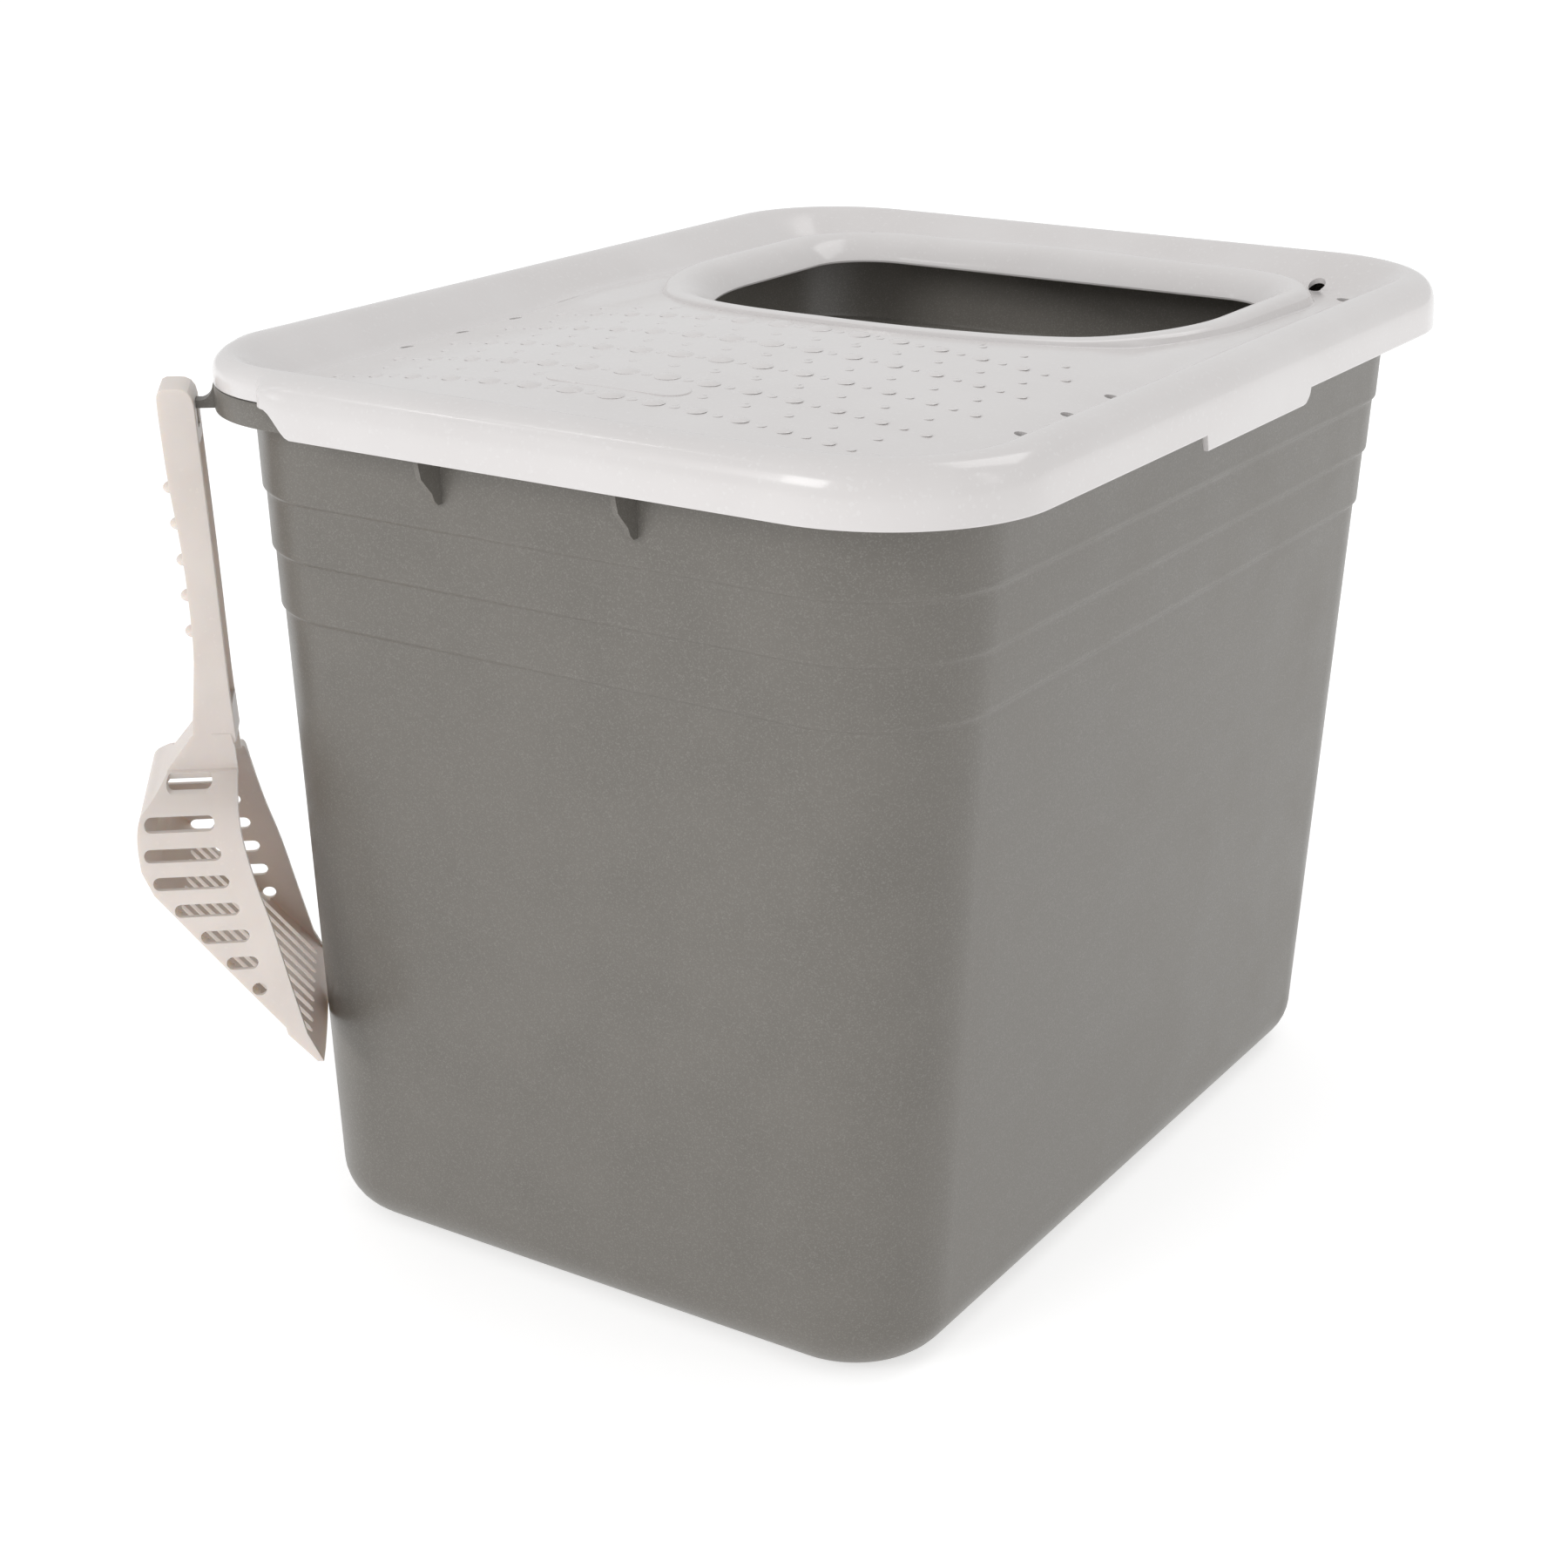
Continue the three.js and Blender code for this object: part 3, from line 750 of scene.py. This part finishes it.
def tabDrop(point):
    beyond = (point.y - tab["to"] + tab["roundness"]) / tab["roundness"]
    if point.x <= box["halfWidth"] - 1 or point.y <= tab["from"] or beyond >= 1:
        return 0.0
    front = min(1.0, (point.y - tab["from"]) / tab["notch"])
    return tab["depth"] * front * math.sqrt(1 - max(0.0, beyond) ** 2)


def skirtRing(inset, height, cutInset, cutHeight, foot=False):
    whole, drawn, edge = [walk(boxOutline(step, lid["anchor"]), boxSpots) for step in (inset, cutInset, 0)]
    points = []
    for wholePoint, drawnPoint, edgePoint in zip(whole, drawn, edge):
        across, along = edgePoint.xy
        rise = min((cutAway["across"] - across) / cutAway["acrossOver"],
                   (cutAway["along"] - along) / cutAway["alongOver"])
        draw = min((cutAway["drawAcross"] - across) / cutAway["drawAcrossOver"],
                   (cutAway["drawAlong"] - along) / cutAway["drawAlongOver"])
        point = wholePoint.lerp(drawnPoint, ease(draw))
        point.z = between(height, cutHeight, ease(rise))
        if foot:
            point.z -= tabDrop(edgePoint)
        points.append(point)
    return points


def borderRing(inset):
    points = walk(boxOutline(inset, lid["anchor"]), boxSpots)
    widen = lid["sideWiden"] * max(0.0, inset - lid["crestInset"])
    for point, (side, end, part, share) in zip(points, boxSpots):
        if part == 2:
            starting = ease((point.y - lid["sideFrom"]) / lid["sideOver"])
            point.x -= side * widen * starting * (1 - ease((point.y - lid["sideUntil"]) / lid["sideFade"]))
        point.z = lidFloor(point.x, point.y, inset)
    return points


def platformRing(footRing, beadFoot, share):
    points = [start.lerp(end, share) for start, end in zip(footRing, beadFoot)]
    for point, start in zip(points, footRing):
        point.z = lidFloor(point.x, point.y, lid["footInset"] + (point - start).xy.length)
    return points


def beadRing(grow):  # the rolled bead around the entry hole
    def height(point):
        top, foot = crest(point.x, point.y), crown(point.x, point.y)
        if grow < 0:
            return top - (top - hole["lip"] - hole["lipRise"]) * (grow / hole["beadIn"]) ** 2
        share = 1 - grow / hole["beadOut"]
        return between(foot, top, (1 - (1 - share) ** hole["swell"]) * ease(share * hole["footBlend"]))
    return walk(holeOutline(grow), holeSpots, height)


def below(points):  # the inner side of the wall
    return [point - Vector((0, 0, lid["wall"])) for point in points]


def lidShell():
    rings = [skirtRing(*place, True) for place in skirt["foot"]]
    rings += [skirtRing(*place) for place in skirt["outer"]]
    rings += [borderRing(inset) for inset in lid["borderRows"]]
    footRing, beadFoot, count = rings[-1], beadRing(hole["beadOut"]), lid["platformRows"]
    rings += [platformRing(footRing, beadFoot, i / count) for i in range(1, count)]
    rings += [beadRing(grow) for grow in hole["beadRows"]]
    rings += [walk(holeOutline(grow), holeSpots, hole["lip"] + rise) for grow, rise in hole["lipRows"]]
    rings += [below(beadRing(grow)) for grow in hole["beadRowsBelow"]]
    middle = [start.lerp(end, 0.5) for start, end in zip(footRing, beadFoot)]
    for point in middle:
        point.z = crown(point.x, point.y)
    rings += [below(middle)]
    rings += [below(borderRing(inset)) for inset in lid["borderRowsBelow"]]
    rings += [skirtRing(*place) for place in skirt["inner"]]
    rings += [skirtRing(*place, True) for place in skirt["innerFoot"]] + [rings[0]]
    bm = bmesh.new()
    ring = startRing(bm, rings[0])
    for places in rings[1:]:
        ring = nextRing(bm, ring, places)
    bmesh.ops.remove_doubles(bm, verts=bm.verts, dist=0.001)  # the last ring closes onto the first
    bmesh.ops.recalc_face_normals(bm, faces=bm.faces)
    return bm


def dome(x, y, radius, rise, segments):  # a shallow lens, sunk a little into the platform
    bm = bmesh.new()
    bmesh.ops.create_uvsphere(bm, u_segments=segments[0], v_segments=segments[1], radius=radius)
    for vert in bm.verts:
        share = vert.co.xy.length / radius
        vert.co.z = (rise if vert.co.z >= 0 else -1.0) * (1 - share ** bumps["flatness"])
    bmesh.ops.translate(bm, vec=(x, y, lidFloor(x, y, bumps["inset"])), verts=bm.verts)
    return bm


def holeDistance(x, y):
    centreY = hole["front"] + hole["frontCorner"]
    return math.hypot(x, y - centreY) - hole["frontCorner"] if y < centreY else 0.0


def bumpBodies():
    bodies = []
    rows, columns, pitch, along = bumps["rows"], bumps["columns"], bumps["acrossPitch"], bumps["alongPitch"]
    beyondEnd, beyondMiddle = pad["margin"]
    padFrom, padTo = pad["from"] - beyondEnd, pad["to"] + beyondEnd
    for row in range(rows):
        for column in range(-columns, columns):
            x, y = (column + 0.5) * pitch, bumps["frontRow"] + row * along
            size = 1 - bumps["shrink"] * abs(x) / bumps["radius"]
            if holeDistance(x, y) > bumps["clearance"]:
                bodies.append(dome(x, y, bumps["radius"] * size, bumps["rise"] * size, bumps["segments"]))
    for row in range(2 * rows):  # small pips between the bumps
        for column in range(1 - columns, columns):
            x, y = column * pitch, bumps["frontRow"] + row * along / 2
            onPad = padFrom < x < padTo and abs(y - pad["along"]) < beyondMiddle
            if holeDistance(x, y) > bumps["clearance"] and not onPad:
                bodies.append(dome(x, y, bumps["smallRadius"], bumps["smallRise"], bumps["smallSegments"]))
    return gather(bodies)


def padBody():
    half, start, end = pad["half"], pad["from"] + pad["half"], pad["to"] - pad["half"]

    def padRing(inset, rise):
        outline = stadium(start, end, pad["along"], half - inset, pad["endSteps"])
        return [(x, y, crown(x, y) + rise) for x, y in outline]

    bm = bmesh.new()
    first = line = startRing(bm, padRing(0, -pad["sink"]))
    for inset, drop in pad["rows"]:
        line = nextRing(bm, line, padRing(inset, pad["rise"] - drop))
    bmesh.ops.edgeloop_fill(bm, edges=ringEdges(bm, first))
    bmesh.ops.edgeloop_fill(bm, edges=ringEdges(bm, line))
    bmesh.ops.recalc_face_normals(bm, faces=bm.faces)
    return bm


def drainBodies():
    alongs = [drain["firstAlong"] + i * drain["pitch"] for i in range(drain["count"])]
    places = [(drain["across"], along, drain["radius"]) for along in alongs]
    places += [(x, y, drain["rearRadius"]) for x, y in drain["rear"]]
    bodies = []
    for x, y, radius in places:
        for side in (-1, 1):
            bm = bmesh.new()
            bmesh.ops.create_cone(
                bm, cap_ends=True, segments=drain["segments"], radius1=radius, radius2=radius,
                depth=drain["depth"],
            )
            bmesh.ops.translate(bm, vec=(side * x, y, crown(x, y)), verts=bm.verts)
            bodies.append(bm)
    return gather(bodies)


def makeLid():
    bm = combine(lidShell(), bumpBodies(), "UNION")
    bm = combine(bm, padBody(), "UNION")
    bm = combine(bm, drainBodies(), "DIFFERENCE")
    makePiece("lid_cover", bm, "lid", "lid", "lidPlastic", lid["sharpAngle"])


# Scoop

scoop = {  # the side and the bow are given as (across, height), the other lines as (outward, height)
    "wall": 2.2,
    "tip": (0.6, 92),
    "heel": (69.2, 173.8),
    "rim": [
        (9.4, 110), (15, 132), (21.3, 157.5), (27.7, 179), (32.2, 199), (33.8, 216), (34.6, 225), (36, 231),
    ],
    "back": [(49.5, 234), (66.5, 212.5), (73.4, 205), (74.8, 196), (73.8, 184)],
    "side": [
        (57, 97), (56, 112), (54.5, 135), (52.5, 157), (50, 179), (47, 196),
        (40, 206.5), (30, 212.5), (20, 216.5), (15, 218), (12.2, 234),
    ],
    "bow": [(20, 95.8), (42, 96.2)],
    "curveSteps": 4,
    "bandWidth": 8,  # a raised band follows the open edge
    "bandRise": 0.6,
    "bandSpan": 62,
    "bottomRound": 3.5,
    "bottomSteps": 4,
    "bottomMargin": 14,
    "bottomHeights": (100, 228),
    "halfWidth": 60,
    "reach": (-10, 90),
    "hollowReach": (-30, 90),
    "hollowTop": (36, 227),
    "hollowFoot": (54.8, 60),
    "hollowPastTip": 0.15,  # share of the blade's length
    "backThinning": 0.6,  # the hollow's top lies lower by this share of the wall
    "sideThinning": 0.8,
    "roundAngle": 50,
    "sharpAngle": 28,
}
sideSlot = {
    "first": 131,
    "pitch": 11.9,
    "count": 8,
    "half": 2.8,
    "rimMargin": 13.2,
    "floorMargin": 4.8,
    "depth": 6,
    "outside": 65,
    "endSteps": 8,
}
floorSlot = {
    "pitch": 10.4,
    "count": 9,
    "width": 5,
    "from": 14,
    "to": 94,
    "depth": 9,
    "corner": 2.4,
    "cornerSteps": 4,
}
handle = {
    "halfWidth": 13,
    "bottom": [(51.7, 217.9), (39.6, 215.6)],
    "front": [(33.6, 228), (34.4, 240), (35.3, 252), (38.1, 312), (41.2, 368)],
    "shoulder": [  # over the top, with heights from it
        (41.5, -6.5), (42.2, -3.7), (43.8, -1.4), (46, -0.3),
        (48.5, 0), (53.6, 0), (55.4, -0.8), (56.2, -2.6),
    ],
    "back": [(56.3, 374), (55.9, 364), (53.9, 338), (50.6, 309), (48.9, 272), (50.2, 250), (51.7, 234)],
    "curveSteps": 3,
    "top": 378.3,
    "topDepth": 2,
    "frontRound": 4.5,
    "frontSteps": 5,
    "backRound": 1,
    "backSteps": 2,
    "backDepth": 5,
    "wallInside": 43.8,
    "channel": (243, 355),  # open at the front between these heights
    "channelFront": 20,
    "channelCorner": 2.5,
    "slotHalf": 5.4,
    "slot": (360.6, 371.9),
    "slotReach": (36.8, 46.8),
    "ribs": [335, 319.6, 304, 288.6, 273],
    "ribSize": (5, 3.9, 2.6),
    "ribSegments": (20, 12),
}


def curved(points, steps):  # a smooth line through the points
    line = []
    for i in range(len(points) - 1):
        a, b = points[max(0, i - 1)], points[i]
        c, d = points[i + 1], points[min(len(points) - 1, i + 2)]
        for k in range(steps):
            t = k / steps
            line.append(tuple(
                0.5 * (2 * b[j] + (c[j] - a[j]) * t + (2 * a[j] - 5 * b[j] + 4 * c[j] - d[j]) * t * t
                       + (3 * b[j] - a[j] - 3 * c[j] + d[j]) * t ** 3)
                for j in (0, 1)
            ))
    return line + [points[-1]]


def mirrored(points):
    return points + [(-x, z) for x, z in reversed(points)]


def acrossAt(points, height):
    for (x0, z0), (x1, z1) in zip(points, points[1:]):
        if min(z0, z1) <= height <= max(z0, z1) and z0 != z1:
            return between(x0, x1, (height - z0) / (z1 - z0))
    return points[-1][0]


def edgeMiddle(edge):
    return (edge.verts[0].co + edge.verts[1].co) / 2


def basketBlank():
    span, reach, steps, rise = scoop["halfWidth"], scoop["reach"], scoop["curveSteps"], scoop["bandRise"]
    lowest, highest = scoop["bottomHeights"]
    rim, side = curved(scoop["rim"], steps), curved(scoop["side"], steps)

    def awayFromRim(edge):
        middle = edgeMiddle(edge)
        margin = middle.y - acrossAt(scoop["rim"], middle.z)
        return lowest < middle.z < highest and margin > scoop["bottomMargin"]

    sideLine = [scoop["tip"], *rim, *curved(scoop["back"], steps), scoop["heel"]]
    frontLine = mirrored([*scoop["bow"], *side])
    blank = combine(prism(sideLine, 0, -span, span), prism(frontLine, 1, *reach), "INTERSECT")
    roundEdges(blank, scoop["bottomRound"], scoop["bottomSteps"], scoop["roundAngle"], awayFromRim)

    span = scoop["bandSpan"]
    sideLine = [scoop["tip"], *rim, *[(x + scoop["bandWidth"], z) for x, z in reversed(rim)]]
    frontLine = mirrored([*scoop["bow"], *[(x + rise, z + rise / 2) for x, z in side]])
    band = combine(prism(sideLine, 0, -span, span), prism(frontLine, 1, *reach), "INTERSECT")
    return combine(blank, band, "UNION")


def basketHollow():
    tip, heel, wall, steps = Vector(scoop["tip"]), Vector(scoop["heel"]), scoop["wall"], scoop["curveSteps"]
    span, topCorner = scoop["halfWidth"], scoop["hollowTop"]
    along = (heel - tip).normalized()
    inward = Vector((-along.y, along.x)) * wall
    start = tip + inward - (heel - tip) * scoop["hollowPastTip"]
    back = [(x - wall, z - wall * scoop["backThinning"]) for x, z in curved(scoop["back"], steps)]
    sideLine = [tuple(start), (start.x, topCorner[1]), topCorner, *back, tuple(heel + inward)]
    walls = [(x - wall, z - wall * scoop["sideThinning"]) for x, z in curved(scoop["side"], steps)]
    frontLine = mirrored([scoop["hollowFoot"], *walls])
    return combine(
        prism(sideLine, 0, -span, span), prism(frontLine, 1, *scoop["hollowReach"]), "INTERSECT",
    )


def sideSlotBodies():
    outer = [scoop["tip"], scoop["heel"], *reversed(scoop["back"])]
    bodies = []
    for k in range(sideSlot["count"]):
        height = sideSlot["first"] + k * sideSlot["pitch"]
        start = acrossAt(scoop["rim"], height) + sideSlot["rimMargin"]
        end = acrossAt(outer, height) - sideSlot["floorMargin"]
        inside = acrossAt(scoop["side"], height) - sideSlot["depth"]
        outline = stadium(start, end, height, sideSlot["half"], sideSlot["endSteps"])
        bodies.append(prism(outline, 0, -sideSlot["outside"], -inside))
        bodies.append(prism(outline, 0, inside, sideSlot["outside"]))
    return gather(bodies)


def floorSlotBodies():
    bodies = []
    tip, heel = Vector(scoop["tip"]), Vector(scoop["heel"])
    angle = math.atan2(heel.y - tip.y, heel.x - tip.x)
    place = tip + (heel - tip).normalized() * (floorSlot["from"] + floorSlot["to"]) / 2
    size = (floorSlot["width"], floorSlot["to"] - floorSlot["from"], floorSlot["depth"])
    for k in range(floorSlot["count"]):
        bm = bmesh.new()
        bmesh.ops.create_cube(bm, size=1)
        bmesh.ops.scale(bm, vec=size, verts=bm.verts)
        upright = [e for e in bm.edges if abs(e.verts[0].co.z - e.verts[1].co.z) > floorSlot["depth"] / 2]
        bmesh.ops.bevel(
            bm, geom=upright, offset=floorSlot["corner"], segments=floorSlot["cornerSteps"], profile=0.5,
            affect="EDGES", material=-1,
        )
        bmesh.ops.rotate(bm, matrix=Matrix.Rotation(angle, 3, "X"), verts=bm.verts)
        across = (k - (floorSlot["count"] - 1) / 2) * floorSlot["pitch"]
        bmesh.ops.translate(bm, vec=(across, place.x, place.y), verts=bm.verts)
        bodies.append(bm)
    return gather(bodies)


def handleBlank():
    top, span, steps = handle["top"], handle["halfWidth"], handle["curveSteps"]
    shoulder = [(x, top + rise) for x, rise in handle["shoulder"]]
    outline = curved(handle["front"], steps) + shoulder + curved(handle["back"], steps) + handle["bottom"]
    blank = prism(outline, 0, -span, span)

    def inFront(edge):
        middle = edgeMiddle(edge)
        depth = acrossAt(handle["back"], middle.z) - middle.y
        return depth > handle["backDepth"] or middle.z > top - handle["topDepth"]

    angle = scoop["roundAngle"]
    roundEdges(blank, handle["frontRound"], handle["frontSteps"], angle, inFront)
    roundEdges(blank, handle["backRound"], handle["backSteps"], angle, lambda edge: not inFront(edge))
    return blank


def handleChannel():
    (low, high), front, corner = handle["channel"], handle["channelFront"], handle["channelCorner"]
    wall, inside = scoop["wall"], handle["wallInside"]
    ceiling, half = handle["top"] - wall, handle["halfWidth"] - wall
    inner = [(x - wall, z) for x, z in handle["back"][1:] if z > low]
    outline = [
        (front, low), (front, high), (inside, high), (inside, ceiling - corner), (inside + corner, ceiling),
        (inner[0][0], ceiling), *inner, (inner[-1][0], low),
    ]
    return prism(outline, 0, -half, half)


def hangSlot():
    half, (low, high) = handle["slotHalf"], handle["slot"]
    return prism([(-half, low), (half, low), (half, high), (-half, high)], 1, *handle["slotReach"])


def ribBodies():
    bodies = []
    around, upward = handle["ribSegments"]
    for height in handle["ribs"]:
        bm = bmesh.new()
        bmesh.ops.create_uvsphere(bm, u_segments=around, v_segments=upward, radius=1)
        bmesh.ops.scale(bm, vec=handle["ribSize"], verts=bm.verts)
        bmesh.ops.translate(bm, vec=(0, acrossAt(handle["back"], height), height), verts=bm.verts)
        bodies.append(bm)
    return gather(bodies)


def makeScoop():
    basket = combine(basketBlank(), basketHollow(), "DIFFERENCE")
    basket = combine(basket, sideSlotBodies(), "DIFFERENCE")
    basket = combine(basket, floorSlotBodies(), "DIFFERENCE")
    grip = combine(handleBlank(), ribBodies(), "UNION")
    grip = combine(grip, handleChannel(), "DIFFERENCE")
    grip = combine(grip, hangSlot(), "DIFFERENCE")
    bm = combine(basket, grip, "UNION")
    bmesh.ops.transform(bm, matrix=hangMatrix, verts=bm.verts)
    makePiece("scoop_body", bm, "scoop", "scoop", "scoopPlastic", scoop["sharpAngle"])


makePan()
makeLid()
makeScoop()
